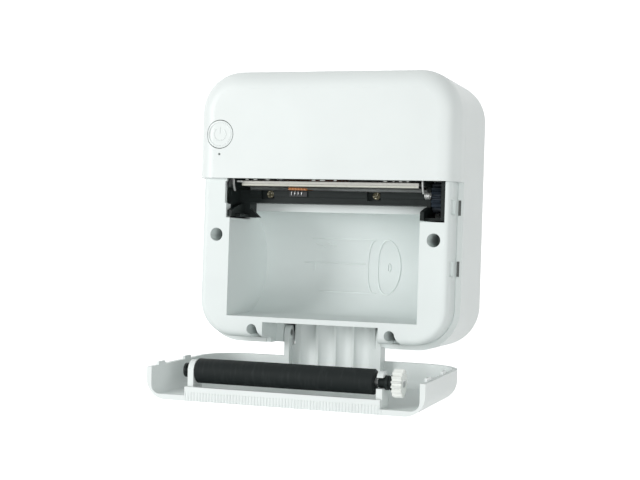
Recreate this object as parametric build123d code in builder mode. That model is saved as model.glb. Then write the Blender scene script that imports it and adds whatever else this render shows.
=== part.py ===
"""A pocket thermal printer for a 57 mm paper roll, lying on its flat back with its lid open.

X runs across the case, Y from the hinge end to the button end, and Z from the flat back out
through the front.  The origin is the middle of the flat back.  Inside this file a place is
given by its height above the hinge end of the case and its depth behind the front face.
The lid and what it carries are modelled shut, and then swung open about the hinge.
"""

import os
from math import acos, atan2, cos, degrees, hypot, pi, radians, sin, tan

from build123d import *

os.makedirs("parts", exist_ok=True)

# ---- Driving sizes, in millimetres and degrees ----

# Shells
shell_wall = 1.6            # rear shell, front cover and lid
corner_radius = 13.2        # corners of the case, seen from the front
edge_fillet = 6.0           # rounding of the front and back edges
core_fillet = 2.6           # and of the room inside them
parting_depth = 10.0        # seam between the front pieces and the rear shell
seam_gap = 0.1              # between the front cover and the rear shell
lid_gap = 0.25              # between the shut lid and what it closes on
lid_rim_gap = 0.5           # between the shut lid's rim and the rear shell
paper_slot = 0.5            # between the lid's tear edge and the front cover
cover_height = 34.2         # front cover, from the paper slot to the button end
rebate_width = 0.95         # step inside the mouth of the rear shell
rebate_depth = 1.2
rebate_gap = 0.1
fit_gap = 0.05              # between pieces that are fixed to each other

# Paper compartment
roll_radius = 16.6          # round back of the compartment
compartment_width = 62.2
floor_height = 8.4          # front edge of the compartment's floor
floor_rise = 0.6
tub_wall = 1.6
back_room = 4.8             # between the compartment and the rear shell

# Inner frame
frame_wall = 1.6
frame_reach = 4.0           # how far the frame's rim stands inside the rear shell
rim_land = 2.0              # rim left beside the print mechanism
deck_gap = 0.5              # from the gears to the plate between circuit board and battery
deck_wall = 1.5

# Hinge
hinge_height = 3.1
hinge_depth = 17.4
hinge_pin_radius = 1.0
hinge_barrel_radius = 2.3    # rounded end of the neck's flanges, around the pin
hinge_lug = 1.55
knuckle_front = 15.0        # the frame's knuckles, between its lugs and the neck
lid_open_angle = 91.5
turning_gap = 0.05          # radial gap of a part that turns on a pin

# Neck of the lid
neck_half_width = 16.2
neck_flange = 1.7
neck_thickness = 2.4
neck_side_gap = 2.7         # from the neck to the sides of its notch
neck_tail = 2.8             # how far the neck reaches past the hinge
slit_width = 1.0
slit_depth = 4.0            # how far the slits run from the hinge towards the lid
flute_pitch = 6.0
flute_width = 5.2
flute_sink = 1.2
flutes = 4

# Platen roller
platen_depth = 8.55
platen_rise = 3.8           # platen axis above the top of the compartment
platen_radius = 3.65
rubber_left = -28.05
rubber_right = 26.65
platen_shaft_radius = 1.1
bushing_neck_radius = 1.5
bushing_barrel_radius = 2.1
bushing_left_length = 1.8
bushing_right_length = 2.3
bracket_wall = 1.8
bracket_radius = 3.2
bracket_gap = 0.35          # from the rubber to the left bracket
bracket_gap_right = 1.05
bushing_gap = 0.17
gear_side_gap = 0.15
shaft_stub = 0.25
bushing_groove_width = 0.5
bushing_groove_radius = 1.75
shaft_chamfer = 0.2
rubber_chamfer = 0.25

# Lip and tear edge of the lid
lip_height = 2.6
lip_wall = 1.6
tear_left = -30.2
tear_right = 30.8
tear_pitch = 0.95
tear_sink = 0.25
tear_reach = 2.7

# Gears
gear_module = 0.45
pressure_angle = 25.0
backlash = 0.05
dedendum = 1.2              # in modules
platen_teeth = 16
drive_teeth = 20
transfer_teeth = 16
reduction_small_teeth = 12
reduction_large_teeth = 32
pinion_teeth = 12
platen_gear_width = 2.8
drive_gear_margin = 0.3     # how much wider than the platen gear, on its inner side
large_gear_width = 2.2
axle_radius = 0.75
transfer_angle = 0.0        # from the drive gear, measured from +Y towards +Z
reduction_angle = -34.0     # from the transfer gear
motor_angle = 55.0          # from the reduction gear

# Print mechanism
mech_wall = 1.2
mech_front = 2.6            # front edge of the side walls
mech_floor_rise = 0.5       # mechanism's bottom above the frame's opening
mech_floor_wall = 0.9
bar_front = 13.2
bar_bottom_drop = 1.3       # bottom of the bar below the platen axis
bar_top_rise = 2.9
bar_step_rise = 0.8         # above it the bar's face stands out
bar_step = 0.6
bar_lip = 0.45
bar_lip_step = 0.3
bridge_gap = 2.4            # room for the springs above the heat sink
pocket_gap = 0.3            # from the left bushing to the side wall
pocket_inner = -29.0        # inner side of the left pocket's back
pocket_front = 5.7          # front edge of the side wall beside the bushing
low_wall_front = 4.6        # front edge of the inner side wall, below the right bushing
low_wall_x = (-32.2, -30.8)     # left side wall, below the bushing
clip_seat = 0.8             # thickness of the wall that the left clip stands on
gear_room = 2.35            # from the platen gear to the outer wall
head_gap = 0.15             # room for the paper between platen and print head
head_thickness = 0.7
sink_thickness = 0.9
head_front = 6.2
head_length = 9.0
head_back_gap = 0.6         # from the print head's hinge to the frame's cross wall
head_left = -29.0
head_right = 29.2
sink_set_back = 0.3         # from the strip's front edge to the heat sink's
head_slot = 0.5             # from the heat sink up to the cover's edge
head_pivot_radius = 0.75
head_boss_radius = 1.3
spring_radius = 1.3
spring_wire = 0.4
spring_turns = 4
spring_places = (-17.0, 17.0)
left_block_set_back = 0.6   # of the block behind the left pocket, from the bar's front
cheek_reach = 1.2           # how far the right side wall's upper end reaches past the head
wedge_reach = 3.4           # curved web from the left pocket to the floor
wedge_rise = 2.8
wedge_bend = (1.45, 1.75)
wedge_set_back = 2.2
wedge_wall = 1.6

# Motor, board, battery and small parts
motor_radius = 7.5
motor_length = 14.0
motor_flange = 0.8
motor_flange_inset = 1.0
motor_ear = 3.2
motor_ear_land = 0.4
motor_chamfer = 0.5
motor_screw_reach = 9.0
board_front = 11.2
board_thickness = 1.2
board_inset = 4.5
board_motor_gap = 3.0
board_low_gap = 1.0         # from the print mechanism up to the board
board_screw_margin = 6.5    # from the ends of the case's upper room to the screws
board_screw_left = (12.5, 18.5)     # upper and lower screws, from the left side of the case
board_screw_right = 9.0
chips = (                   # x, height above the light, width, height and thickness
    (-12.0, 10.0, 8.0, 8.0, 1.0),
    (-1.5, 10.0, 5.0, 4.0, 0.9),
    (-22.0, 11.5, 4.0, 3.0, 0.8),
)
battery_width = 48.0
battery_height = 24.0
battery_thickness = 8.5
battery_low_gap = 1.0
button_left = 7.9           # button centre from the left side of the case
button_drop = 20.4          # and below the button end
button_radius = 4.35
button_gap = 0.25
button_travel = 0.5
button_seat = 2.4           # back of the front wall around the button
button_flange = 0.75
button_guide = 3.0          # length of the ring that guides the button
button_flange_wall = 1.0
led_drop = 6.3              # light's hole below the button
led_hole_radius = 0.4
led_size = (1.6, 1.2, 0.8)
switch_side = 6.0
switch_height = 5.0
switch_plunger = 0.6
switch_chamfer = 0.3
usb_width = 9.0
usb_thickness = 3.2
usb_length = 7.4
usb_x = -10.0
usb_wall = 0.3
usb_mouth = 0.6             # how far the socket's mouth lies inside the end of the case
usb_hole_gap = 0.4
usb_base = (8.0, 1.5, 2.6)  # insulator inside the socket: width, length and thickness
usb_tongue = (6.6, 6.0, 0.7)

# Screws
head_share = 0.6            # height of a screw's head over its radius
recess_share = 0.5          # depth of its recess over the head's height
slot_share = 0.3            # width of the recess's slots over the head's radius
case_screw_radius = 2.1     # bore for the head
low_screw_radius = 1.65
screw_land = 5.2            # upper screws, inside the rim's outer edge
upper_screw_height = 34.0
low_screw_land = 0.4        # lower screws, outside the hinge lugs
low_screw_height = 4.4
screw_seat_depth = 16.0
screw_seat = 1.5
screw_shank = 1.0
screw_pilot = 0.85
boss_wall = 1.3
case_head_gap = 0.3
case_screw_length = 9.0
small_head = 1.5
mech_head = 1.2
small_shank = 0.7
board_screw_length = 7.0
motor_screw_length = 2.6
mech_screw_places = (-22.3, 13.5)
mech_screw_rise = 1.6       # above the platen axis
mech_screw_length = 9.0
mech_screw_recess = 6.0     # screw heads in front of the frame's cross wall
mech_recess_left = 1.3      # room beside and below those heads
mech_recess_right = 0.15
mech_recess_low = 0.15

# Small features of the rim
window_heights = (23.2, 41.9)
window_height = 4.6
window_depth = (2.8, 7.4)
window_sink = 0.8
tab_wall = 0.8
tab_rise = 1.0
keyhole = (                 # tail of a lower screw's hole, across and up from its centre
    (-0.4, 0.0),
    (-0.4, -3.0),
    (3.2, -3.0),
    (3.3, -2.0),
    (2.3, -1.2),
    (1.6, 0.2),
)
keyhole_depth = 9.0
clip_wall = 0.45
clip_band = 0.6
clip_radius = 6.0
clip_gap = 1.7
clip_rise = 1.6
clip_drop = 40.0            # angle of the clips' curve
clip_right = 30.7
ribbon_x = (-20.0, 4.0)
ribbon_foot = 3.0
socket_depth = 1.9
socket_low = 1.6            # body of the ribbon's socket, below and above the ribbon's top
socket_high = 1.2
socket_side = 1.3
ribbon_wall = 0.3
ribbon_top = 61.0
sensor_x = (-15.1, -9.2)
sensor_wall = 0.5
sensor_low = 2.2            # from the bar's lower and upper edges to the sensor
sensor_high = 0.4
flex_wall = 0.35
bushing_slot = (1.9, 5.0)    # notch of the opening for the left bushing, below and above its axis

# ---- Sizes that follow from them ----

hinge_inset = shell_wall + lid_gap                       # frame's sides inside the case's sides
rim_depth = hinge_inset                                  # frame's front face
pivot_depth = head_front + head_length + 2 * head_boss_radius
roll_height = floor_height + floor_rise + roll_radius    # axis of the paper roll
roll_depth = pivot_depth + head_boss_radius + head_back_gap
roll_top = roll_height + roll_radius
platen_height = roll_top + platen_rise
head_bottom = platen_height + platen_radius + head_gap
sink_bottom = head_bottom + head_thickness
sink_top = sink_bottom + sink_thickness
split_height = sink_top + head_slot                      # front cover's lower edge
case_height = split_height + cover_height
case_depth = roll_depth + roll_radius + tub_wall + back_room + shell_wall
lid_top = split_height - paper_slot
lid_rim_depth = parting_depth - lid_rim_gap
frame_top = split_height + shell_wall

left_bracket = (rubber_left - bracket_gap - bracket_wall, rubber_left - bracket_gap)
right_bracket_left = rubber_right + bracket_gap_right
right_bracket = (right_bracket_left, right_bracket_left + bracket_wall)
left_barrel_end = left_bracket[0] - bushing_gap
left_barrel = (left_barrel_end - bushing_left_length, left_barrel_end)
right_barrel_end = right_bracket[1] + bushing_gap
right_barrel = (right_barrel_end, right_barrel_end + bushing_right_length)
platen_gear_left = right_barrel[1] + gear_side_gap
platen_gear_x = (platen_gear_left, platen_gear_left + platen_gear_width)
drive_gear_x = (platen_gear_x[0] - drive_gear_margin, platen_gear_x[1] - gear_side_gap)
outer_wall_x = (platen_gear_x[1] + gear_room, platen_gear_x[1] + gear_room + mech_wall)
inner_wall_x = (drive_gear_x[0] - 2 * gear_side_gap - mech_wall, drive_gear_x[0] - 2 * gear_side_gap)
left_wall_x = (left_barrel[0] - pocket_gap - mech_wall, left_barrel[0] - pocket_gap)
case_width = 2 * (outer_wall_x[1] + 4 * fit_gap + rim_land + hinge_inset)
large_gear_x = (outer_wall_x[0], outer_wall_x[0] + large_gear_width)

bar_back = roll_depth - fit_gap
bar_bottom = platen_height - bar_bottom_drop
bar_top = platen_height + bar_top_rise
bridge_bottom = sink_top + bridge_gap
bridge_top = bridge_bottom + mech_wall
pivot_height = sink_bottom + head_pivot_radius

# Lowest reach of the platen gear as the lid swings, at the frame's front face.
swing_radius = hypot(hinge_depth - platen_depth, platen_height - hinge_height)
bushing_path = swing_radius - bushing_barrel_radius - lid_gap
platen_gear_reach = gear_module * (platen_teeth / 2 + 1)
gear_path = swing_radius - platen_gear_reach
opening_bottom = hinge_height + (gear_path**2 - (hinge_depth - rim_depth) ** 2) ** 0.5 - lid_gap
mech_bottom = opening_bottom + mech_floor_rise
mech_floor_top = mech_bottom + mech_floor_wall

notch_half_width = neck_half_width + neck_side_gap
notch_top = floor_height - tub_wall
neck_tail_depth = hinge_depth + neck_tail
notch_back = hinge_depth + hypot(neck_tail, hinge_height) + lid_gap
lug_outer = notch_half_width + hinge_lug
low_screw_x = lug_outer + low_screw_radius + low_screw_land

mech_screw_height = platen_height + mech_screw_rise

button_x = -case_width / 2 + button_left
button_height = case_height - button_drop
led_height = button_height - led_drop
board_back = board_front + board_thickness
upper_screw_x = case_width / 2 - hinge_inset - screw_land


def gear_place(start, angle, teeth):
    """Height and depth of a gear's centre, seen from another at an angle from +Y towards +Z."""
    height, depth, other_teeth = start
    reach = gear_module * (teeth + other_teeth) / 2
    return (height + reach * cos(radians(angle)), depth - reach * sin(radians(angle)), teeth)


# The shut lid carries its gear straight towards the drive gear.
drive_angle = degrees(atan2(hinge_height - platen_height, hinge_depth - platen_depth))
platen_place = (platen_height, platen_depth, platen_teeth)
drive_place = gear_place(platen_place, drive_angle, drive_teeth)
transfer_place = gear_place(drive_place, transfer_angle, transfer_teeth)
reduction_place = gear_place(transfer_place, reduction_angle, reduction_small_teeth)
motor_place = gear_place((*reduction_place[:2], reduction_large_teeth), motor_angle, pinion_teeth)

deck_depth = reduction_place[1] + gear_module * (reduction_small_teeth / 2 + 1) + deck_gap
deck_back = deck_depth + deck_wall


def y_at(height):
    """Y of a height above the hinge end of the case."""
    return height - case_height / 2


def z_at(depth):
    """Z of a depth behind the front face."""
    return case_depth - depth


def side(height, depth):
    """A point of a side view, which is drawn on a YZ plane."""
    return (y_at(height), z_at(depth))


def block(x, height, depth, mode=Mode.ADD):
    """A plain block between two values each of X, height and depth."""
    middle = (sum(x) / 2, y_at(sum(height) / 2), z_at(sum(depth) / 2))
    with Locations(middle):
        Box(abs(x[1] - x[0]), abs(height[1] - height[0]), abs(depth[1] - depth[0]), mode=mode)


def rod(x, height, depth, radius, mode=Mode.ADD):
    """A round bar along X."""
    with Locations(Location((sum(x) / 2, y_at(height), z_at(depth)), (0, 90, 0))):
        Cylinder(radius, abs(x[1] - x[0]), mode=mode)


def post(x, height, depth, radius, mode=Mode.ADD):
    """A round bar along Z, between two depths."""
    with Locations((x, y_at(height), z_at(sum(depth) / 2))):
        Cylinder(radius, abs(depth[1] - depth[0]), mode=mode)


def case_outline(inset=0.0, mode=Mode.ADD):
    """The case seen from the front, drawn inside its sides by the inset."""
    RectangleRounded(case_width - 2 * inset, case_height - 2 * inset, corner_radius - inset, mode=mode)


def cover_only():
    """Keep only the part of a front view that the front cover takes up."""
    with Locations((0, y_at(split_height))):
        Rectangle(2 * case_width, case_height, align=(Align.CENTER, Align.MIN), mode=Mode.INTERSECT)


def screw(x, height, head_depth, head_radius, shank_radius, length):
    """A pan head screw along Z, with a cross recess."""
    head_height = head_share * head_radius
    recess = recess_share * head_height
    slot = slot_share * head_radius
    post(x, height, (head_depth, head_depth + head_height), head_radius)
    post(x, height, (head_depth + head_height, head_depth + length), shank_radius)
    for width, tall in ((slot, head_radius), (head_radius, slot)):
        block(
            (x - width / 2, x + width / 2),
            (height - tall / 2, height + tall / 2),
            (head_depth - recess, head_depth + recess),
            mode=Mode.SUBTRACT,
        )


hinge_axis = Axis((0, y_at(hinge_height), z_at(hinge_depth)), (1, 0, 0))


def export(piece, name):
    """Label a finished piece and write it to its STEP file."""
    piece.part.label = name
    export_step(piece.part, f"parts/{name}.step")


# ---- The whole case as one form, and the room inside its walls ----

with BuildPart() as case_form:
    with BuildSketch():
        case_outline()
    extrude(amount=case_depth)
    fillet(case_form.faces().sort_by(Axis.Z)[0].edges(), edge_fillet)
    fillet(case_form.faces().sort_by(Axis.Z)[-1].edges(), edge_fillet)

with BuildPart() as case_core:
    with BuildSketch(Plane.XY.offset(shell_wall)):
        case_outline(shell_wall)
    extrude(amount=case_depth - 2 * shell_wall)
    fillet(case_core.faces().sort_by(Axis.Z)[0].edges(), core_fillet)
    fillet(case_core.faces().sort_by(Axis.Z)[-1].edges(), core_fillet)

across = (-case_width, case_width)
case_screw_places = (
    (-upper_screw_x, upper_screw_height, case_screw_radius),
    (upper_screw_x, upper_screw_height, case_screw_radius),
    (-low_screw_x, low_screw_height, low_screw_radius),
    (low_screw_x, low_screw_height, low_screw_radius),
)

# ---- Rear shell ----

boss_front = screw_seat_depth + screw_seat + fit_gap
usb_middle = board_back + usb_thickness / 2
ribbon_depth = board_back + socket_depth + 2 * lid_gap

with BuildPart() as rear_shell:
    add(case_form.part)
    add(case_core.part, mode=Mode.SUBTRACT)
    block(across, (-case_height, 2 * case_height), (parting_depth, 2 * case_depth), mode=Mode.INTERSECT)
    for x, height, _ in case_screw_places:
        post(x, height, (boss_front, case_depth - shell_wall / 2), screw_pilot + boss_wall)
    add(case_form.part, mode=Mode.INTERSECT)
    for x, height, _ in case_screw_places:
        post(x, height, (boss_front - 1, case_depth - 2 * shell_wall), screw_pilot, mode=Mode.SUBTRACT)
    with BuildSketch(Plane.XY.offset(z_at(parting_depth + rebate_depth))):
        case_outline(shell_wall - rebate_width)
        cover_only()
    extrude(amount=rebate_depth, mode=Mode.SUBTRACT)
    block((-notch_half_width, notch_half_width), (-1, notch_top), (0, notch_back), mode=Mode.SUBTRACT)
    for sign in (-1, 1):
        lug_x = (sign * (notch_half_width - 1), sign * (lug_outer + fit_gap))
        block(lug_x, (-1, notch_top), (0, notch_back + hinge_lug), mode=Mode.SUBTRACT)
        tab_side = case_width / 2 - shell_wall + tab_wall + rebate_gap
        for height in window_heights:
            tab_height = (height - rebate_gap, height + window_height + rebate_gap)
            tab_depth = (0, lid_rim_depth + tab_rise + rebate_gap)
            block((0, sign * tab_side), tab_height, tab_depth, mode=Mode.SUBTRACT)
    with BuildSketch(Plane.XZ.offset(-y_at(case_height) - 1)):
        with Locations((usb_x, z_at(usb_middle))):
            usb_hole = (usb_width + 2 * usb_hole_gap, usb_thickness + 2 * usb_hole_gap)
            RectangleRounded(*usb_hole, usb_thickness / 2)
    extrude(amount=2 * shell_wall, mode=Mode.SUBTRACT)
export(rear_shell, "rear_shell")

# ---- Front cover, with the button's guide and the light's hole ----

guide_radius = button_radius + button_gap + button_flange + button_gap

with BuildPart() as front_cover:
    add(case_form.part)
    add(case_core.part, mode=Mode.SUBTRACT)
    block(across, (split_height, 2 * case_height), (-1, parting_depth - seam_gap), mode=Mode.INTERSECT)
    with BuildSketch(Plane.XY.offset(z_at(parting_depth + rebate_depth - 2 * rebate_gap))):
        case_outline(shell_wall - rebate_width + rebate_gap)
        case_outline(shell_wall, mode=Mode.SUBTRACT)
        cover_only()
    extrude(amount=2 * rebate_depth)
    post(button_x, button_height, (shell_wall / 2, button_seat + button_guide), guide_radius + boss_wall)
    add(case_form.part, mode=Mode.INTERSECT)
    post(button_x, button_height, (button_seat, case_depth), guide_radius, mode=Mode.SUBTRACT)
    post(button_x, button_height, (-1, case_depth), button_radius + button_gap, mode=Mode.SUBTRACT)
    post(button_x, led_height, (-1, 2 * shell_wall), led_hole_radius, mode=Mode.SUBTRACT)
export(front_cover, "front_cover")

# ---- Inner frame: rim, paper compartment, mechanism seat and board deck ----

mech_left = left_wall_x[0] - 4 * fit_gap
mech_right = outer_wall_x[1] + 4 * fit_gap
mouth_left = low_wall_x[0] - 4 * fit_gap
tub_half = compartment_width / 2
board_screw_heights = (case_height - board_screw_margin, split_height + board_screw_margin)
board_screw_places = (
    (-case_width / 2 + board_screw_left[0], board_screw_heights[0]),
    (-case_width / 2 + board_screw_left[1], board_screw_heights[1]),
    (board_screw_right, board_screw_heights[0]),
    (board_screw_right, board_screw_heights[1]),
)


def compartment_profile(wall):
    """Side view of the paper compartment, open to the front and up, moved out by a wall."""
    floor = floor_height - wall
    low = roll_height - roll_radius - wall
    high = roll_top + wall
    with BuildSketch() as profile:
        with BuildLine():
            Polyline(side(high, roll_depth), side(2 * high, roll_depth), side(2 * high, rim_depth),
                     side(floor, rim_depth), side(low, roll_depth))
            ThreePointArc(side(low, roll_depth), side(roll_height, roll_depth + roll_radius + wall),
                          side(high, roll_depth))
        make_face()
    return profile.sketch


drive_tip_radius = gear_module * (drive_teeth / 2 + 1)
deck_right = inner_wall_x[1]
wall_right = inner_wall_x[0] - lid_gap

with BuildPart() as tub:
    with BuildSketch(Plane.YZ):
        add(compartment_profile(tub_wall))
    extrude(amount=tub_half + tub_wall, both=True)
    with BuildSketch(Plane.YZ):
        add(compartment_profile(0))
    extrude(amount=tub_half, both=True, mode=Mode.SUBTRACT)
    block(across, (-case_height, roll_top + tub_wall), (-1, case_depth), mode=Mode.INTERSECT)

with BuildPart() as rim_form:
    with BuildSketch(Plane.XY.offset(z_at(boss_front))):
        case_outline(hinge_inset)
    extrude(amount=boss_front - rim_depth)
    fillet(rim_form.faces().sort_by(Axis.Z)[-1].edges(), core_fillet - 2 * lid_gap)

with BuildPart() as rim_tubes:
    for x, height, radius in case_screw_places:
        post(x, height, (rim_depth, boss_front - fit_gap), radius + boss_wall)
    for sign in (-1, 1):
        cheek_x = (sign * notch_half_width, sign * lug_outer)
        block(cheek_x, (hinge_inset, floor_height), (rim_depth, parting_depth + frame_reach))
    add(rim_form.part, mode=Mode.INTERSECT)

with BuildPart() as inner_frame:
    add(rim_form.part)
    with BuildSketch(Plane.XY.offset(z_at(boss_front))):
        case_outline(hinge_inset + frame_wall)
    extrude(amount=boss_front - rim_depth - frame_wall, mode=Mode.SUBTRACT)
    block(across, (-case_height, frame_top), (-1, parting_depth + frame_reach), mode=Mode.INTERSECT)
    with BuildSketch(Plane.YZ):
        add(compartment_profile(0))
    extrude(amount=tub_half, both=True, mode=Mode.SUBTRACT)
    add(tub.part)
    block((mouth_left, mech_right), (opening_bottom, case_height), (-1, roll_depth), mode=Mode.SUBTRACT)
    behind_mouth = (pocket_front - 4 * fit_gap, roll_depth)
    block((mech_left, mech_right), (opening_bottom, case_height), behind_mouth, mode=Mode.SUBTRACT)
    slot_height = (platen_height - bushing_slot[0], platen_height + bushing_slot[1])
    block((left_barrel[0] - 3 * lid_gap, 0), slot_height, (-1, roll_depth), mode=Mode.SUBTRACT)
    block((-tub_half - tub_wall, wall_right), (roll_top, frame_top), (roll_depth, roll_depth + tub_wall))
    shelf_x = (-tub_half - tub_wall, wall_right)
    block(shelf_x, (frame_top - tub_wall, frame_top), (roll_depth, deck_back))
    with BuildSketch(Plane.XY.offset(z_at(deck_back))):
        case_outline(hinge_inset + frame_wall)
        with Locations((deck_right, y_at(frame_top - tub_wall))):
            Rectangle(case_width, case_height, align=(Align.MAX, Align.MIN), mode=Mode.INTERSECT)
    extrude(amount=deck_wall)
    for x, height in board_screw_places:
        post(x, height, (board_back, deck_depth + deck_wall / 2), screw_pilot + boss_wall)
        post(x, height, (board_back, deck_depth), small_shank - fit_gap, mode=Mode.SUBTRACT)
    for sign in (-1, 1):
        lug_x = (sign * notch_half_width, sign * lug_outer)
        lug_depth = (parting_depth + lid_gap, notch_back + hinge_lug - fit_gap)
        block(lug_x, (fit_gap, floor_height), lug_depth)
    add(rim_tubes.part)
    for x, height, radius in case_screw_places:
        post(x, height, (-1, screw_seat_depth), radius, mode=Mode.SUBTRACT)
        post(x, height, (0, boss_front), screw_shank + fit_gap, mode=Mode.SUBTRACT)
    for x, height, _ in case_screw_places[2:]:
        with BuildSketch(Plane.XY.offset(z_at(keyhole_depth))):
            with Locations((x, y_at(height))):
                Polygon(*keyhole, align=None)
        extrude(amount=2 * keyhole_depth, mode=Mode.SUBTRACT)
    block((-notch_half_width, notch_half_width), (-1, notch_top), (-1, case_depth), mode=Mode.SUBTRACT)
    for sign in (-1, 1):
        knuckle_x = (sign * (neck_half_width + lid_gap), sign * (notch_half_width + tub_wall / 2))
        block(knuckle_x, (fit_gap, notch_top), (knuckle_front, notch_back - fit_gap))
        hole_x = (0, sign * (lug_outer - fit_gap))
        rod(hole_x, hinge_height, hinge_depth, hinge_pin_radius, mode=Mode.SUBTRACT)
        for height in window_heights:
            window_x = (sign * (case_width / 2 - hinge_inset - window_sink), sign * case_width)
            block(window_x, (height, height + window_height), window_depth, mode=Mode.SUBTRACT)
    for x in mech_screw_places:
        boss = (roll_depth + tub_wall / 2, roll_depth + mech_screw_length - mech_screw_recess)
        post(x, mech_screw_height, boss, small_shank + boss_wall)
        post(x, mech_screw_height, (0, case_depth), small_shank - fit_gap, mode=Mode.SUBTRACT)
    well_x = (wall_right, case_width)
    rod(well_x, *drive_place[:2], drive_tip_radius + lid_gap, mode=Mode.SUBTRACT)
export(inner_frame, "inner_frame")

# ---- Lid: tray, neck, roller brackets, lip and tear edge, modelled shut ----


def swing_open(piece):
    """Turn a finished piece of the lid about the hinge from shut to open."""
    piece.part = piece.part.rotate(hinge_axis, lid_open_angle)


def bracket_profile(slotted):
    """Side view of a roller bracket: a bore for the bushing's neck, or a slot open to the tear edge."""
    foot = side(platen_height, (platen_depth + shell_wall) / 2)
    with Locations(foot):
        Rectangle(2 * bracket_radius, platen_depth)
    with Locations(side(platen_height, platen_depth)):
        Circle(bracket_radius)
        slot = bushing_neck_radius + fit_gap
        Circle(slot, mode=Mode.SUBTRACT)
        if slotted:
            Rectangle(2 * bracket_radius, 2 * slot, align=(Align.MIN, Align.CENTER), mode=Mode.SUBTRACT)
    with Locations(side(platen_height, shell_wall / 2)):
        Rectangle(4 * bracket_radius, 3 * case_depth, align=(Align.CENTER, Align.MIN), mode=Mode.SUBTRACT)


with BuildPart() as lid:
    add(case_form.part)
    add(case_core.part, mode=Mode.SUBTRACT)
    block(across, (-1, lid_top), (-1, lid_rim_depth), mode=Mode.INTERSECT)
    neck_x = (-neck_half_width, neck_half_width)
    block(neck_x, (shell_wall / 2, neck_thickness), (shell_wall / 2, edge_fillet))
    block(neck_x, (0, neck_thickness), (edge_fillet, neck_tail_depth))
    for index in range(flutes):
        flute_x = (index - (flutes - 1) / 2) * flute_pitch
        flute_radius = (flute_width**2 / 4 + flute_sink**2) / (2 * flute_sink)
        flute_height = neck_thickness - flute_sink + flute_radius
        post(flute_x, flute_height, (shell_wall, case_depth), flute_radius, mode=Mode.SUBTRACT)
    for sign in (-1, 1):
        flange_x = (sign * (neck_half_width - neck_flange), sign * neck_half_width)
        slit_x = (flange_x[0] - sign * slit_width, flange_x[0])
        beyond_x = (flange_x[0], sign * case_width)
        block(slit_x, (-1, case_height), (hinge_depth - slit_depth, case_depth), mode=Mode.SUBTRACT)
        block(flange_x, (-1, case_height), (hinge_depth, case_depth), mode=Mode.SUBTRACT)
        flange_span = (hinge_height / 2, hinge_height + hinge_barrel_radius)
        block(flange_x, flange_span, (shell_wall / 2, hinge_depth))
        rod(flange_x, hinge_height, hinge_depth, hinge_barrel_radius)
        pin_radius = hinge_pin_radius + turning_gap
        rod((flange_x[0] - sign, beyond_x[1]), hinge_height, hinge_depth, pin_radius, mode=Mode.SUBTRACT)
        for height in window_heights:
            tab_x = (sign * (case_width / 2 - shell_wall), sign * (case_width / 2 - shell_wall + tab_wall))
            block(tab_x, (height, height + window_height), (lid_rim_depth - 1, lid_rim_depth + tab_rise))
    for bracket in (left_bracket, right_bracket):
        with BuildSketch(Plane.YZ.offset(bracket[0])):
            bracket_profile(bracket is right_bracket)
        extrude(amount=bracket_wall)
    lip_depth = (shell_wall / 2, shell_wall + lip_height)
    block((left_bracket[0], right_bracket[1]), (lid_top - lip_wall, lid_top), lip_depth)
    teeth = int((tear_right - tear_left) / tear_pitch)
    with BuildSketch(Plane.XY.offset(z_at(-1))):
        for index in range(teeth):
            with Locations((tear_left + (index + 0.5) * tear_pitch, y_at(lid_top))):
                Rectangle(tear_sink * 2**0.5, tear_sink * 2**0.5, rotation=45)
    extrude(amount=-1 - tear_reach, mode=Mode.SUBTRACT)
swing_open(lid)
export(lid, "lid")

with BuildPart() as hinge_pins:
    for sign in (-1, 1):
        pin_x = (sign * (neck_half_width - neck_flange), sign * (lug_outer - 2 * fit_gap))
        rod(pin_x, hinge_height, hinge_depth, hinge_pin_radius)
export(hinge_pins, "hinge_pins")

# ---- Platen roller ----

shaft_x = (left_barrel[0], platen_gear_x[1] + shaft_stub)


def roller_bushing(neck_x, barrel_x, name):
    """A bushing whose neck lies in its bracket's slot, and whose grooved barrel is beside it."""
    with BuildPart() as bushing:
        rod((neck_x[0], neck_x[1]), platen_height, platen_depth, bushing_neck_radius)
        rod(barrel_x, platen_height, platen_depth, bushing_barrel_radius)
        middle = sum(barrel_x) / 2
        groove_x = (middle - bushing_groove_width / 2, middle + bushing_groove_width / 2)
        rod(groove_x, platen_height, platen_depth, bushing_barrel_radius, mode=Mode.SUBTRACT)
        rod(groove_x, platen_height, platen_depth, bushing_groove_radius)
        bore = platen_shaft_radius + turning_gap
        rod(across, platen_height, platen_depth, bore, mode=Mode.SUBTRACT)
    swing_open(bushing)
    export(bushing, name)


roller_bushing((left_bracket[1], left_barrel[1]), left_barrel, "platen_bushing_left")
roller_bushing((right_bracket[0], right_barrel[0]), right_barrel, "platen_bushing_right")

with BuildPart() as platen_shaft:
    rod(shaft_x, platen_height, platen_depth, platen_shaft_radius)
    chamfer(platen_shaft.faces().sort_by(Axis.X)[-1].edges(), shaft_chamfer)
swing_open(platen_shaft)
export(platen_shaft, "platen_shaft")

with BuildPart() as platen_rubber:
    rod((rubber_left, rubber_right), platen_height, platen_depth, platen_radius)
    ends = platen_rubber.edges().filter_by(GeomType.CIRCLE)
    chamfer(ends, rubber_chamfer)
    rod(across, platen_height, platen_depth, platen_shaft_radius, mode=Mode.SUBTRACT)
swing_open(platen_rubber)
export(platen_rubber, "platen_rubber")

# ---- Gears ----


def involute(angle):
    return tan(angle) - angle


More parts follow.
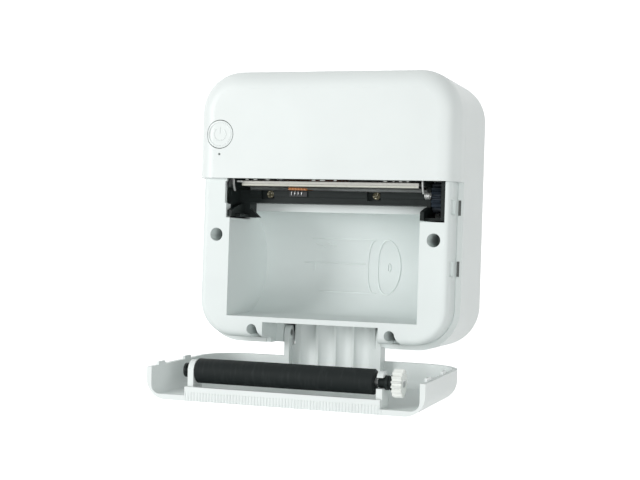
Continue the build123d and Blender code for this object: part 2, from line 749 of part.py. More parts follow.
def gear_tooth(teeth):
    """One involute tooth along local X, as a closed face that starts inside the root circle."""
    slope = radians(pressure_angle)
    pitch_radius = gear_module * teeth / 2
    base_radius = pitch_radius * cos(slope)
    tip_radius = pitch_radius + gear_module
    root_radius = pitch_radius - dedendum * gear_module
    start = max(base_radius, root_radius)
    half_pitch = pi / (2 * teeth) - backlash / pitch_radius
    flank = []
    for step in range(5):
        radius = start + (tip_radius - start) * step / 4
        angle = half_pitch + involute(slope) - involute(acos(min(1, base_radius / radius)))
        flank.append((radius * cos(angle), radius * sin(angle)))
    mirrored = [(x, -y) for x, y in flank]
    inner_angle = atan2(flank[0][1], flank[0][0])
    inner = root_radius - gear_module / 2
    foot = (inner * cos(inner_angle), inner * sin(inner_angle))
    with BuildSketch() as tooth:
        with BuildLine():
            Spline(*flank)
            ThreePointArc(flank[-1], (tip_radius, 0), mirrored[-1])
            Spline(*mirrored)
            Polyline(mirrored[0], (foot[0], -foot[1]), foot, flank[0])
        make_face()
    return tooth.sketch


def gear_phase(angle, teeth, other_phase, other_teeth):
    """Angle of a gear's first tooth, so that it meshes with another gear seen at the angle."""
    other_share = (angle - other_phase) / (360 / other_teeth)
    return angle + 180 - (0.5 - other_share) * 360 / teeth


def spur_gear(x, place, phase):
    """A toothed disc between two values of X, about the gear's place."""
    height, depth, teeth = place
    plane = Plane(origin=(x[0], y_at(height), z_at(depth)), x_dir=(0, 1, 0), z_dir=(1, 0, 0))
    tooth = gear_tooth(teeth)
    with BuildSketch(plane) as disc:
        Circle(gear_module * (teeth / 2 - dedendum))
        with PolarLocations(0, teeth, start_angle=phase):
            add(tooth)
    extrude(disc.sketch, amount=x[1] - x[0])


platen_phase = drive_angle
drive_phase = gear_phase(drive_angle, drive_teeth, platen_phase, platen_teeth)
transfer_phase = gear_phase(transfer_angle, transfer_teeth, drive_phase, drive_teeth)
small_phase = gear_phase(reduction_angle, reduction_small_teeth, transfer_phase, transfer_teeth)
large_phase = small_phase
pinion_phase = gear_phase(motor_angle, pinion_teeth, large_phase, reduction_large_teeth)
axle_bore = axle_radius + turning_gap

with BuildPart() as platen_gear:
    spur_gear(platen_gear_x, platen_place, platen_phase)
    rod(across, *platen_place[:2], platen_shaft_radius, mode=Mode.SUBTRACT)
swing_open(platen_gear)
export(platen_gear, "platen_gear")

with BuildPart() as drive_gear:
    spur_gear(drive_gear_x, drive_place, drive_phase)
    rod(across, *drive_place[:2], axle_bore, mode=Mode.SUBTRACT)
export(drive_gear, "drive_gear")

with BuildPart() as transfer_gear:
    spur_gear(drive_gear_x, transfer_place, transfer_phase)
    rod(across, *transfer_place[:2], axle_bore, mode=Mode.SUBTRACT)
export(transfer_gear, "transfer_gear")

with BuildPart() as reduction_gear:
    spur_gear(drive_gear_x, reduction_place, small_phase)
    hub_x = (drive_gear_x[1], large_gear_x[0])
    rod(hub_x, *reduction_place[:2], gear_module * (reduction_small_teeth / 2 - dedendum))
    large_place = (*reduction_place[:2], reduction_large_teeth)
    spur_gear(large_gear_x, large_place, large_phase)
    rod(across, *reduction_place[:2], axle_bore, mode=Mode.SUBTRACT)
export(reduction_gear, "reduction_gear")

with BuildPart() as motor_pinion:
    spur_gear(large_gear_x, motor_place, pinion_phase)
    rod(across, *motor_place[:2], axle_radius, mode=Mode.SUBTRACT)
export(motor_pinion, "motor_pinion")

with BuildPart() as motor_shaft:
    motor_shaft_x = (inner_wall_x[0] - motor_length / 2, large_gear_x[1] + shaft_stub / 2)
    rod(motor_shaft_x, *motor_place[:2], axle_radius)
export(motor_shaft, "motor_shaft")

for name, place, axle_x in (
    ("drive_axle", drive_place, (inner_wall_x[0], outer_wall_x[1])),
    ("transfer_axle", transfer_place, (inner_wall_x[0], drive_gear_x[1] + gear_side_gap)),
    ("reduction_axle", reduction_place, (inner_wall_x[0], large_gear_x[1] + gear_side_gap)),
):
    with BuildPart() as axle:
        rod(axle_x, *place[:2], axle_radius)
    export(axle, name)

# ---- Frame of the print mechanism ----

inner_edge = bar_front - lid_gap
bar_x = (pocket_inner, inner_wall_x[1])
bar_step_height = platen_height + bar_step_rise
clip_seat_x = low_wall_x[0] + clip_seat
seat_low = platen_height + bushing_barrel_radius + 4 * lid_gap
motor_screw_places = (
    (motor_place[0] - motor_screw_reach, motor_place[1]),
    (motor_place[0] + motor_screw_reach, motor_place[1]),
)
gear_wall_top = motor_place[0] + motor_screw_reach + motor_ear / 2
outside_top = reduction_place[0] - gear_module * (reduction_large_teeth / 2 + 1) - lid_gap
gear_wall_depth = (head_front - cheek_reach, deck_depth - lid_gap)

with BuildPart() as mech_frame:
    low_height = (mech_bottom, platen_height)
    block(low_wall_x, low_height, (mech_front, bar_back))
    block(inner_wall_x, low_height, (low_wall_front, bar_back))
    rod(across, hinge_height, hinge_depth, bushing_path, mode=Mode.INTERSECT)
    block(left_wall_x, (mech_bottom, bridge_top), (pocket_front, bar_back))
    block((left_wall_x[0], pocket_inner), (mech_bottom, mech_floor_top), (pocket_front, bar_back))
    block((low_wall_x[0], clip_seat_x), (seat_low, bridge_top), (mech_front, bar_back))
    block((left_wall_x[0], clip_seat_x), (seat_low, bridge_top), (pocket_front, bar_back))
    left_block_depth = (bar_front + left_block_set_back, bar_back)
    block((left_wall_x[0], pocket_inner), (mech_bottom, bar_top), left_block_depth)
    block(bar_x, (bar_step_height, bar_top), (bar_front, bar_back))
    block(bar_x, (bar_bottom, bar_step_height), (bar_front + bar_step, bar_back))
    block(bar_x, (bar_bottom, bar_bottom + bar_lip), (bar_front + bar_lip_step, bar_back))
    block(inner_wall_x, (mech_floor_top, bridge_top), (inner_edge, bar_back))
    block(inner_wall_x, (sink_bottom, bridge_top), (head_front - cheek_reach, bar_back))
    block(outer_wall_x, (mech_bottom, outside_top), (mech_front, bar_back))
    block((inner_wall_x[0], outer_wall_x[1]), (mech_bottom, mech_floor_top), (head_front, bar_back))
    block((left_wall_x[0], inner_wall_x[1]), (bridge_bottom, bridge_top), (head_front, bar_back))
    block(inner_wall_x, (bridge_bottom, gear_wall_top), gear_wall_depth)
    with BuildSketch(Plane.XY.offset(z_at(bar_front + wedge_set_back))):
        with BuildLine():
            root = (pocket_inner, y_at(mech_bottom + wedge_rise))
            foot = (pocket_inner + wedge_reach, y_at(mech_bottom))
            bend = (pocket_inner + wedge_bend[0], y_at(mech_bottom + wedge_bend[1]))
            Polyline(root, (pocket_inner, y_at(mech_bottom)), foot)
            ThreePointArc(foot, bend, root)
        make_face()
    extrude(amount=wedge_wall)
    for x in mech_screw_places:
        recess_x = (x - small_head - mech_recess_left, x + small_head + mech_recess_right)
        recess_depth = (0, roll_depth - mech_screw_recess + small_head)
        recess_height = (mech_screw_height - small_head - mech_recess_low, bar_top + fit_gap)
        block(recess_x, recess_height, recess_depth, mode=Mode.SUBTRACT)
        post(x, mech_screw_height, (0, case_depth), small_shank, mode=Mode.SUBTRACT)
    window_x = (ribbon_x[0] - 2 * lid_gap, ribbon_x[1] + 2 * lid_gap)
    window_span = (ribbon_depth - 2 * lid_gap, ribbon_depth + ribbon_wall + 2 * lid_gap)
    block(window_x, (sink_top, case_height), window_span, mode=Mode.SUBTRACT)
    for place, axle_x in ((drive_place, across), (transfer_place, across), (reduction_place, across)):
        rod(axle_x, *place[:2], axle_radius, mode=Mode.SUBTRACT)
    rod(across, *motor_place[:2], 3 * axle_radius, mode=Mode.SUBTRACT)
    for height, depth in motor_screw_places:
        rod(across, height, depth, small_shank, mode=Mode.SUBTRACT)
    rod(across, pivot_height, pivot_depth, head_pivot_radius, mode=Mode.SUBTRACT)
export(mech_frame, "mech_frame")

with BuildPart() as head_pivot:
    rod((left_wall_x[0], inner_wall_x[1]), pivot_height, pivot_depth, head_pivot_radius)
export(head_pivot, "head_pivot")

# ---- Print head: ceramic strip under an aluminium heat sink that turns on the pivot ----

with BuildPart() as thermal_head:
    head_depth = (head_front, head_front + head_length)
    block((head_left, head_right), (head_bottom, sink_bottom), head_depth)
    chamfer(thermal_head.faces().sort_by(Axis.Y)[0].edges().sort_by(Axis.Z)[-1], head_thickness / 3)
export(thermal_head, "thermal_head")

with BuildPart() as head_sink:
    block((head_left, head_right), (sink_bottom, sink_top), (head_front + sink_set_back, pivot_depth))
    rod((head_left, head_right), pivot_height, pivot_depth, head_boss_radius)
    rod(across, pivot_height, pivot_depth, head_pivot_radius + turning_gap, mode=Mode.SUBTRACT)
export(head_sink, "head_sink")

spring_depth = head_front + head_length / 3
spring_length = bridge_gap - spring_wire - 2 * fit_gap

with BuildPart() as head_springs:
    for x in spring_places:
        foot = (x, y_at(sink_top + spring_wire / 2 + fit_gap), z_at(spring_depth))
        with BuildLine() as coil:
            pitch = spring_length / spring_turns
            Helix(pitch, spring_length, spring_radius, center=foot, direction=(0, 1, 0))
        with BuildSketch(Plane(origin=coil.line @ 0, z_dir=coil.line % 0)):
            Circle(spring_wire / 2)
        sweep()
export(head_springs, "head_springs")


def clip_point(angle):
    """A point of a clip's curved end, at an angle down from its straight part."""
    height = bridge_bottom - clip_rise - clip_radius * sin(radians(angle))
    depth = mech_front + clip_gap + clip_radius * (1 - cos(radians(angle)))
    return side(height, depth)


for name, clip_left in (("head_clip_left", clip_seat_x + fit_gap), ("head_clip_right", clip_right)):
    with BuildPart() as clip:
        with BuildSketch(Plane.YZ.offset(clip_left)) as strip:
            with BuildLine():
                Line(side(bridge_top, mech_front + clip_gap), clip_point(0))
                ThreePointArc(clip_point(0), clip_point(clip_drop / 2), clip_point(clip_drop))
                offset(amount=clip_band / 2, kind=Kind.ARC)
            make_face()
        extrude(amount=clip_wall)
    export(clip, name)

with BuildPart() as head_ribbon:
    foot_height = (sink_top + fit_gap, sink_top + fit_gap + ribbon_wall)
    block(ribbon_x, foot_height, (ribbon_depth - ribbon_foot, ribbon_depth))
    block(ribbon_x, (foot_height[0], ribbon_top), (ribbon_depth, ribbon_depth + ribbon_wall))
    block(ribbon_x, (ribbon_top - ribbon_wall, ribbon_top), (board_back + socket_depth, ribbon_depth))
export(head_ribbon, "head_ribbon")

# ---- Paper sensor and its flexible circuit, on the mechanism's cross bar ----

with BuildPart() as paper_sensor:
    sensor_height = (bar_bottom + sensor_low, bar_top - sensor_high)
    block(sensor_x, sensor_height, (bar_front - sensor_wall, bar_front - fit_gap))
export(paper_sensor, "paper_sensor")

with BuildPart() as sensor_flex:
    flex_height = (bar_top + fit_gap, bar_top + fit_gap + flex_wall)
    block(sensor_x, flex_height, (bar_front - sensor_wall - sensor_high, bar_back))
export(sensor_flex, "sensor_flex")

with BuildPart() as mech_screws:
    for x in mech_screw_places:
        head = roll_depth - mech_screw_recess + small_head - head_share * mech_head
        screw(x, mech_screw_height, head, mech_head, small_shank - fit_gap, mech_screw_length - 2)
export(mech_screws, "mech_screws")

# ---- Stepper motor ----

motor_x = (inner_wall_x[0] - fit_gap - motor_length, inner_wall_x[0] - fit_gap)
flange_x = (motor_x[1] - motor_flange, motor_x[1])
with BuildPart() as motor_body:
    rod((motor_x[0], flange_x[0]), *motor_place[:2], motor_radius)
    chamfer(motor_body.edges().filter_by(GeomType.CIRCLE).sort_by(Axis.X)[0], motor_chamfer)
    rod(flange_x, *motor_place[:2], motor_radius - motor_flange_inset)
    for height, depth in motor_screw_places:
        rod(flange_x, height, depth, motor_ear / 2 + motor_ear_land)
        ear_depth = (depth - motor_ear / 2, depth + motor_ear / 2)
        block(flange_x, (motor_place[0], height), ear_depth)
    for height, depth in motor_screw_places:
        rod((motor_x[1] - 1, case_width), height, depth, small_shank, mode=Mode.SUBTRACT)
    rod((motor_x[0] + 2, case_width), *motor_place[:2], axle_radius + turning_gap, mode=Mode.SUBTRACT)
export(motor_body, "motor_body")

with BuildPart() as motor_screws:
    head_face = flange_x[0] - fit_gap
    for height, depth in motor_screw_places:
        rod((head_face - head_share * small_head, head_face), height, depth, small_head)
        rod((head_face, head_face + motor_screw_length), height, depth, small_shank - fit_gap)
        slot_x = (-case_width, head_face - head_share * small_head * (1 - recess_share))
        slot = slot_share * small_head / 2
        slot_height = (height - small_head, height + small_head)
        block(slot_x, slot_height, (depth - slot, depth + slot), mode=Mode.SUBTRACT)
export(motor_screws, "motor_screws")

# ---- Circuit board and what it carries ----

board_right = motor_x[0] - board_motor_gap

with BuildPart() as main_board:
    with BuildSketch(Plane.XY.offset(z_at(board_back))):
        case_outline(board_inset)
        with Locations((board_right, y_at(bridge_top + board_low_gap))):
            Rectangle(case_width, case_height, align=(Align.MAX, Align.MIN), mode=Mode.INTERSECT)
    extrude(amount=board_thickness)
    for x, height in board_screw_places:
        post(x, height, (0, case_depth), small_shank + fit_gap, mode=Mode.SUBTRACT)
export(main_board, "main_board")

with BuildPart() as board_screws:
    for x, height in board_screw_places:
        head = board_front - fit_gap - head_share * small_head
        screw(x, height, head, small_head, small_shank - fit_gap, board_screw_length)
export(board_screws, "board_screws")

with BuildPart() as board_chips:
    for x, rise, width, tall, thickness in chips:
        with Locations((x, y_at(led_height + rise), z_at(board_front - fit_gap))):
            Box(width, tall, thickness, align=(Align.CENTER, Align.CENTER, Align.MIN))
export(board_chips, "board_chips")

with BuildPart() as ribbon_socket:
    socket_height = (ribbon_top - socket_low, ribbon_top + socket_high)
    socket_x = (ribbon_x[0] - socket_side, ribbon_x[1] + socket_side)
    block(socket_x, socket_height, (board_back + fit_gap, board_back + socket_depth - fit_gap))
export(ribbon_socket, "ribbon_socket")

with BuildPart() as usb_socket:
    usb_end = y_at(case_height - usb_mouth)
    usb_centre = z_at(usb_middle + fit_gap)
    with BuildSketch(Plane.XZ.offset(-usb_end)) as shell:
        with Locations((usb_x, usb_centre)):
            usb_corner = usb_thickness / 2 - fit_gap
            RectangleRounded(usb_width, usb_thickness, usb_corner)
            inside = (usb_width - 2 * usb_wall, usb_thickness - 2 * usb_wall)
            RectangleRounded(*inside, usb_corner - usb_wall, mode=Mode.SUBTRACT)
    extrude(amount=usb_length)
    with Locations((usb_x, usb_end - usb_length, usb_centre)):
        Box(*usb_base, align=(Align.CENTER, Align.MIN, Align.CENTER))
        Box(*usb_tongue, align=(Align.CENTER, Align.MIN, Align.CENTER))
export(usb_socket, "usb_socket")

half_switch = switch_side / 2
switch_front = board_front - fit_gap - switch_height
with BuildPart() as tact_switch:
    switch_x = (button_x - half_switch, button_x + half_switch)
    switch_heights = (button_height - half_switch, button_height + half_switch)
    block(switch_x, switch_heights, (switch_front, board_front - fit_gap))
    chamfer(tact_switch.faces().sort_by(Axis.Z)[-1].edges(), switch_chamfer)
    post(button_x, button_height, (switch_front - switch_plunger, switch_front), small_head)
export(tact_switch, "tact_switch")

with BuildPart() as status_light:
    with Locations((button_x, y_at(led_height), z_at(board_front - fit_gap))):
        Box(*led_size, align=(Align.CENTER, Align.CENTER, Align.MIN))
export(status_light, "status_light")

with BuildPart() as power_button:
    flange_back = button_seat + button_flange_wall
    post(button_x, button_height, (-1, flange_back), button_radius)
    add(case_form.part, mode=Mode.INTERSECT)
    flange_depth = (button_seat + lid_gap / 2, flange_back)
    post(button_x, button_height, flange_depth, button_radius + button_gap + button_flange)
    stem_end = switch_front - switch_plunger - button_travel - 2 * fit_gap
    post(button_x, button_height, (flange_back, stem_end), small_head)
export(power_button, "power_button")

with BuildPart() as battery:
    battery_x = (board_right - battery_width, board_right)
    battery_low = frame_top + battery_low_gap
    battery_depth = (deck_back + fit_gap, deck_back + fit_gap + battery_thickness)
    block(battery_x, (battery_low, battery_low + battery_height), battery_depth)
    fillet(battery.edges().filter_by(Axis.Y), battery_thickness / 3)
export(battery, "battery")

with BuildPart() as case_screws:
    for x, height, radius in case_screw_places:
        head_radius = low_screw_radius - case_head_gap
        head = screw_seat_depth - head_share * head_radius
        screw(x, height, head, head_radius, screw_pilot - fit_gap, case_screw_length)
export(case_screws, "case_screws")
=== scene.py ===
# %% [markdown]
# # A pocket thermal printer with its lid open
#
# The solids of the printer come packed from its CAD model: every shell, gear, screw and shaft at
# its real size.  This lesson dresses them.  It sets the camera and the light, gives each part the
# finish of its real material, and adds the small things that are easier to draw than to machine.

# %% Load the solids
import math

import bpy
import numpy as np
from mathutils import Matrix, Vector


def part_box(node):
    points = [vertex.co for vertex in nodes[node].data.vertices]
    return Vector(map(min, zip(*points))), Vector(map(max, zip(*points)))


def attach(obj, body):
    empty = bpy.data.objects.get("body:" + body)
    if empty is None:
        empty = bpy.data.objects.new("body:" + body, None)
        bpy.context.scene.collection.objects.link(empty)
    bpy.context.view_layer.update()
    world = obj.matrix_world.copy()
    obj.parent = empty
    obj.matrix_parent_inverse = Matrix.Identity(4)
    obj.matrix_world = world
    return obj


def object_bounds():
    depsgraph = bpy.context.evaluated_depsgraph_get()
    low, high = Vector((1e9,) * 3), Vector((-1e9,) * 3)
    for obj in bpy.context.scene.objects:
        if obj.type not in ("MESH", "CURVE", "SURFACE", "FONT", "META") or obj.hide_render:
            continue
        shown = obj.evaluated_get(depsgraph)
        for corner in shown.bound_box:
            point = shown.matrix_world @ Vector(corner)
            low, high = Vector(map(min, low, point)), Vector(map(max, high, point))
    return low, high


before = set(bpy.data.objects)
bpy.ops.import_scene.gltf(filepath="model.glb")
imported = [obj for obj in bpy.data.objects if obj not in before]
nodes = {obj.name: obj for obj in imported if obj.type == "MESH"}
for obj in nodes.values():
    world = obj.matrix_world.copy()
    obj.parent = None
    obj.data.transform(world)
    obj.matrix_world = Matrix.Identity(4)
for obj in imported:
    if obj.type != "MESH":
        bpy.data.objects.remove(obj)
bpy.context.view_layer.update()
cad_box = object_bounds()
mm = 0.001
cad_size = [round(side / mm, 1) for side in cad_box[1] - cad_box[0]]
print("solids:", len(nodes), "box in mm:", cad_size)

# %% [markdown]
# ## The camera
#
# The printer lies on its back, so its front faces up and the camera looks down on it.  A camera
# looks along its own -Z with its own +Y up.  Three directions at right angles make its matrix: the
# way back from the target, the way to the right, and the way up.  A small roll tips the view.

# %% Camera
camera_place = Vector((130.93, -13.08, 430.79)) * mm
camera_target = Vector((0.045, -9.944, 44.3)) * mm
camera_roll = math.radians(1.835)
camera_lens = 74.41
sensor_width = 36.0

backward = (camera_place - camera_target).normalized()
rightward = Vector((0, 1, 0)).cross(backward).normalized()
upward = backward.cross(rightward)
turned_up = upward * math.cos(camera_roll) - rightward * math.sin(camera_roll)
turned_right = rightward * math.cos(camera_roll) + upward * math.sin(camera_roll)

camera_data = bpy.data.cameras.new("camera")
camera_data.lens = camera_lens
camera_data.sensor_width = sensor_width
camera_data.clip_start = 0.01
camera = bpy.data.objects.new("camera", camera_data)
camera.matrix_world = Matrix.Translation(camera_place) @ Matrix(
    (turned_right, turned_up, backward)
).transposed().to_4x4()
bpy.context.scene.collection.objects.link(camera)
bpy.context.scene.camera = camera
print("camera to target, mm:", round((camera_place - camera_target).length / mm, 1))

# %% [markdown]
# ## Light and floor
#
# A white product on a white table needs soft light with a direction, or its form disappears.  An
# area light stands low on the left, a larger one fills the compartment from the right, and a pale
# world keeps the shadows open.  The floor glows, as a light table does, but its glow is kept off
# the printer's sides, which would lose their shade.

# %% Floor, world and lights
scene = bpy.context.scene
scene.view_settings.view_transform = "Standard"
scene.view_settings.look = "None"

floor_half = 2.0
floor_white, floor_glow = (0.88, 0.88, 0.88, 1), 0.75
world_white, world_glow = (0.97, 1.0, 0.99, 1), 0.42
light_target = (0, 0, 0.02)
floor_corners = [(-floor_half, -floor_half, 0), (floor_half, -floor_half, 0),
                 (floor_half, floor_half, 0), (-floor_half, floor_half, 0)]
floor_mesh = bpy.data.meshes.new("floor")
floor_mesh.from_pydata(floor_corners, [], [(0, 1, 2, 3)])
floor = bpy.data.objects.new("floor", floor_mesh)
scene.collection.objects.link(floor)
floor.visible_diffuse = False

floor_paint = bpy.data.materials.new("floor_paint")
floor_paint.use_nodes = True
floor_shader = floor_paint.node_tree.nodes["Principled BSDF"]
floor_shader.inputs["Base Color"].default_value = floor_white
floor_shader.inputs["Roughness"].default_value = 0.9
floor_shader.inputs["Emission Color"].default_value = (1, 1, 1, 1)
floor_shader.inputs["Emission Strength"].default_value = floor_glow
floor_mesh.materials.append(floor_paint)

world = bpy.data.worlds.new("studio")
world.use_nodes = True
world_shader = world.node_tree.nodes["Background"]
world_shader.inputs["Color"].default_value = world_white
world_shader.inputs["Strength"].default_value = world_glow
scene.world = world


def area_light(name, place, size, power):
    """A square light of a size in metres, at a place, turned to the printer."""
    data = bpy.data.lights.new(name, "AREA")
    data.size = size
    data.energy = power
    light = bpy.data.objects.new(name, data)
    light.location = place
    light.rotation_mode = "QUATERNION"
    light.rotation_quaternion = (Vector(light_target) - Vector(place)).to_track_quat("-Z", "Y")
    scene.collection.objects.link(light)


area_light("key", place=(-0.6, 0.1, 0.65), size=0.3, power=4.1)
area_light("fill", place=(0.5, -0.1, 0.8), size=0.5, power=3.0)

# %% [markdown]
# ## Shader maths as Python
#
# A material is a small graph.  Drawing it socket by socket hides the idea, so one class wraps a
# socket and turns `+`, `-`, `*` and `/` into Math nodes.  The reflected forms let a number stand on
# the left, as in `1 - mask`.  Every other node comes from one call that takes its type, its
# settings and its values.


# %% A socket that does sums
class Value:
    """A socket of a material's graph.  Sums on it add the Math node that does them."""

    def __init__(self, tree, socket):
        self.tree = tree
        self.socket = socket

    def maths(self, operation, *others):
        """One Math node, with this socket first and the others after it."""
        return add_node(self.tree, "ShaderNodeMath", {"operation": operation}, [self, *others])

    def __add__(self, other):
        return self.maths("ADD", other)

    def __sub__(self, other):
        return self.maths("SUBTRACT", other)

    def __rsub__(self, other):
        return add_node(self.tree, "ShaderNodeMath", {"operation": "SUBTRACT"}, [other, self])

    def __mul__(self, other):
        return self.maths("MULTIPLY", other)

    def __truediv__(self, other):
        return self.maths("DIVIDE", other)

    __radd__ = __add__
    __rmul__ = __mul__


def plug(tree, value, socket):
    """Link a Value to a socket, or set the socket to a plain number or colour."""
    if isinstance(value, Value):
        tree.links.new(value.socket, socket)
    else:
        socket.default_value = value


def add_node(tree, kind, settings, values, output=0):
    """A node of a kind, with its settings and its sockets' values or links.  Returns an output."""
    node = tree.nodes.new(kind)
    for key, setting in settings.items():
        if key == "stops":
            for _ in range(len(setting) - 2):
                node.color_ramp.elements.new(0.5)
            for stop, (position, grey) in zip(node.color_ramp.elements, setting):
                stop.position = position
                stop.color = (grey, grey, grey, 1)
        else:
            setattr(node, key, setting)
    pairs = values.items() if isinstance(values, dict) else enumerate(values)
    for key, value in pairs:
        plug(tree, value, node.inputs[key])
    return Value(tree, node.outputs[output])


class Finish:
    """A material under way: its graph, its place in millimetres, and its shader."""

    def __init__(self, name, **constants):
        self.material = bpy.data.materials.new(name)
        self.material.use_nodes = True
        self.tree = self.material.node_tree
        self.shader = self.tree.nodes["Principled BSDF"]
        for key, value in constants.items():
            self.shader.inputs[key.replace("_", " ")].default_value = value
        place = self.node("ShaderNodeTexCoord", {}, {}, "Object")
        in_mm = {0: place, "Scale": 1 / mm}
        self.place = self.node("ShaderNodeVectorMath", {"operation": "SCALE"}, in_mm)

    def node(self, kind, settings, values, output=0):
        """Any node of this material's graph."""
        return add_node(self.tree, kind, settings, values, output)

    def noise(self, per_mm, detail=2.0, stretch=(1, 1, 1)):
        """Noise from 0 to 1 with so many waves a millimetre, stretched along the axes."""
        scaled = self.node("ShaderNodeMapping", {}, {"Vector": self.place, "Scale": stretch})
        sockets = {"Vector": scaled, "Scale": per_mm, "Detail": detail}
        return self.node("ShaderNodeTexNoise", {}, sockets)

    def axis(self, letter):
        """One coordinate of the place, in millimetres."""
        return self.node("ShaderNodeSeparateXYZ", {}, {0: self.place}, letter)

    def ramp(self, value, stops):
        """The value passed through a line of stops, each a position and a grey."""
        return self.node("ShaderNodeValToRGB", {"stops": stops}, {"Fac": value})

    def mix(self, share, first, second):
        """A colour between two colours."""
        mixed = self.tree.nodes.new("ShaderNodeMix")
        mixed.data_type = "RGBA"
        for name, value in {"Factor": share, "A": first, "B": second}.items():
            plug(self.tree, value, next(s for s in mixed.inputs if s.name == name and s.enabled))
        return Value(self.tree, next(s for s in mixed.outputs if s.enabled))

    def bump(self, height, distance, strength=1.0):
        """A normal tipped by a height, whose full step is the distance in millimetres."""
        values = {"Height": height, "Distance": distance * mm, "Strength": strength}
        return self.node("ShaderNodeBump", {}, values)

    def feed(self, **sockets):
        """Link values to the shader's own sockets, named with _ for a space."""
        for key, value in sockets.items():
            self.tree.links.new(value.socket, self.shader.inputs[key.replace("_", " ")])
        return self.material


def shade(colour, share):
    """A colour made lighter or darker by a share, with its alpha left at one."""
    return (*(min(1.0, channel * share) for channel in colour), 1.0)


print("maths ready:", [name for name in vars(Value) if name.startswith("__")][:4])

# %% [markdown]
# ## White shell plastic
#
# The case and the lid are moulded in white plastic.  The mould's spark-worn face leaves grains of
# about a quarter of a millimetre, which soften every highlight.  A bump of fine noise gives that
# grain, and a slow second noise keeps the white from looking printed on.

# %% Shell finish
finishes = {}
shell_white = (0.80, 0.84, 0.83)


def moulded_white(name, colour, grain_per_mm, rough):
    """White plastic of a colour, with a grain of so many waves a millimetre."""
    finish = Finish(name, IOR=1.5)
    slow = finish.ramp(finish.noise(0.045, 3.0), [(0.3, 0.0), (0.7, 1.0)])
    grain = finish.noise(grain_per_mm, 2.0)
    tint = finish.mix(slow, shade(colour, 0.975), shade(colour, 1.02))
    return finish.feed(
        Base_Color=finish.mix(grain * 0.18, tint, shade(colour, 0.93)),
        Roughness=grain * 0.12 + rough,
        Normal=finish.bump(grain, 0.012, 0.5),
    )


finishes["shell"] = moulded_white("shell_plastic", shell_white, 3.6, 0.38)
print("shell:", finishes["shell"].name)

# %% [markdown]
# ## Inner frame plastic
#
# The paper compartment is a second moulding in a slightly colder white, with a finer grain.  The
# same recipe with other numbers keeps the two plastics related, which is how they look
# side by side.

# %% Frame finish
frame_white = (0.78, 0.83, 0.82)
finishes["frame"] = moulded_white("frame_plastic", frame_white, 5.0, 0.44)
print("frame:", finishes["frame"].name)

# %% [markdown]
# ## Black mechanism plastic
#
# The print mechanism is glass-filled nylon: nearly black, satin, with fibres that show as faint
# streaks along the flow of the melt.  Noise stretched along X makes the streaks, and a ramp keeps
# only its brightest parts as specks.

# %% Mechanism finish
nylon = Finish("filled_nylon", IOR=1.5, Specular_IOR_Level=0.25)
nylon_flow = nylon.noise(1.6, 4.0, (0.18, 1.0, 1.0))
nylon_specks = nylon.ramp(nylon.noise(7.0, 1.0), [(0.62, 0.0), (0.75, 1.0)])
nylon_dark = (0.0100, 0.0140, 0.0135)
nylon_body = nylon.mix(nylon_flow, shade(nylon_dark, 0.5), shade(nylon_dark, 2.0))
finishes["mechanism"] = nylon.feed(
    Base_Color=nylon.mix(nylon_specks * 0.35, nylon_body, shade(nylon_dark, 4.0)),
    Roughness=nylon_flow * 0.22 + 0.36,
    Normal=nylon.bump(nylon_flow, 0.03, 0.4),
)
print("mechanism:", finishes["mechanism"].name)

# %% [markdown]
# ## Acetal gears
#
# Small gears are moulded in natural acetal, an ivory white with a waxy shine.  Rings left by the
# lathe that cut the mould run round the shaft.  Each gear lies across X, so streaks that are long
# along the teeth and short across them read as that machining.  The first gear of the train, beside
# the bar, is moulded in slate grey.

# %% Gear finishes


def moulded_acetal(name, colour):
    """Acetal of a colour, with rings across the shaft."""
    finish = Finish(name, IOR=1.48)
    rings = finish.noise(4.0, 2.0, (1.0, 0.3, 0.3))
    return finish.feed(
        Base_Color=finish.mix(rings, shade(colour, 0.92), shade(colour, 1.05)),
        Roughness=rings * 0.15 + 0.28,
        Normal=finish.bump(rings, 0.01, 0.4),
    )


finishes["gear"] = moulded_acetal("natural_acetal", (0.84, 0.86, 0.83))
slate_acetal = moulded_acetal("slate_acetal", (0.040, 0.055, 0.075))
print("gears:", finishes["gear"].name, slate_acetal.name)

# %% [markdown]
# ## Roller rubber
#
# The platen roller is ground to size, and the wheel leaves fine rings round it.  Rings round the
# X axis are a pattern that changes along X alone.  Paper dust lightens a few of them.

# %% Roller finish
rubber = Finish("ground_rubber", IOR=1.45, Specular_IOR_Level=0.3)
rubber_rings = rubber.noise(5.0, 3.0, (1.0, 0.04, 0.04))
rubber_dust = rubber.ramp(rubber.noise(0.9, 3.0, (1.0, 0.2, 0.2)), [(0.52, 0.0), (0.78, 1.0)])
rubber_black = (0.0095, 0.0135, 0.0135)
rubber_body = rubber.mix(rubber_rings, shade(rubber_black, 0.85), shade(rubber_black, 1.2))
finishes["roller"] = rubber.feed(
    Base_Color=rubber.mix(rubber_dust * 0.05, rubber_body, (0.20, 0.22, 0.22, 1)),
    Roughness=rubber_rings * 0.15 + 0.58,
    Normal=rubber.bump(rubber_rings, 0.015, 0.4),
)
print("roller:", finishes["roller"].name)

# %% [markdown]
# ## Metals
#
# Shafts are ground along their turning, clips are pressed from bright strip, and the heat sink is
# rolled.  One recipe serves them all: a metal's colour, a streak noise stretched the way it was
# worked, and a roughness that follows the streaks.  The screws in the mechanism are different: an
# olive plating that is worn through to bright specks, which a ramp cuts out of a noise.

# %% Metal finishes


